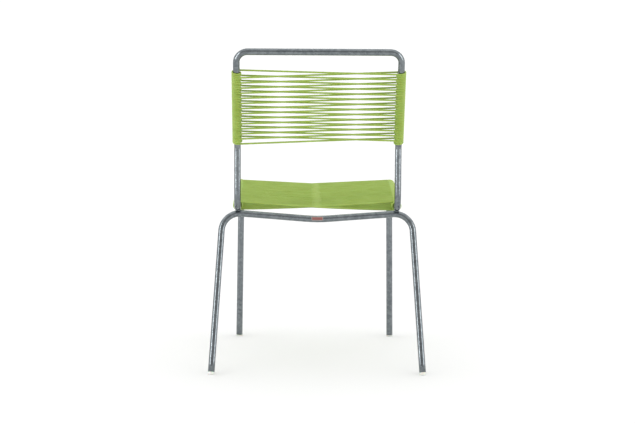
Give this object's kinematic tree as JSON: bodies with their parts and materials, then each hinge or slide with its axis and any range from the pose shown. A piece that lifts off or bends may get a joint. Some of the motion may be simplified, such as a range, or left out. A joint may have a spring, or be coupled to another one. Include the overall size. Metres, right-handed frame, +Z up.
{
  "type": "stacking chair",
  "caption": "Armless stacking chair with a bent round-tube steel frame and a seat and back wound from round plastic cord.",
  "frame": {"origin": "on the floor, under the middle of the chair's bounding box", "axes": "+Z up, the sitter faces -Y, and the sitter's left is +X"},
  "size_m": [0.5846, 0.5943, 0.8684],
  "materials": {
    "galvanised_steel": "hot-dip galvanised, dull mottled zinc",
    "weld_metal": "weld bead under the zinc",
    "cord_plastic": "extruded soft plastic, satin, lime green",
    "glide_plastic": "moulded, milky white",
    "label_foil": "blank pale label"
  },
  "bodies": {
    "root": {"frame_tube": "galvanised_steel", "rear_leg_tube": "galvanised_steel", "front_cross_tube": "galvanised_steel", "weld_rear_left_ahead": "weld_metal", "weld_rear_left_behind": "weld_metal", "weld_rear_right_ahead": "weld_metal", "weld_rear_right_behind": "weld_metal", "weld_front_left": "weld_metal", "weld_front_right": "weld_metal", "glide_front_left": "glide_plastic", "glide_front_right": "glide_plastic", "glide_rear_left": "glide_plastic", "glide_rear_right": "glide_plastic", "label_plate": "label_foil", "back_cord": "cord_plastic", "seat_cord": "cord_plastic"}
  },
  "joints": []
}
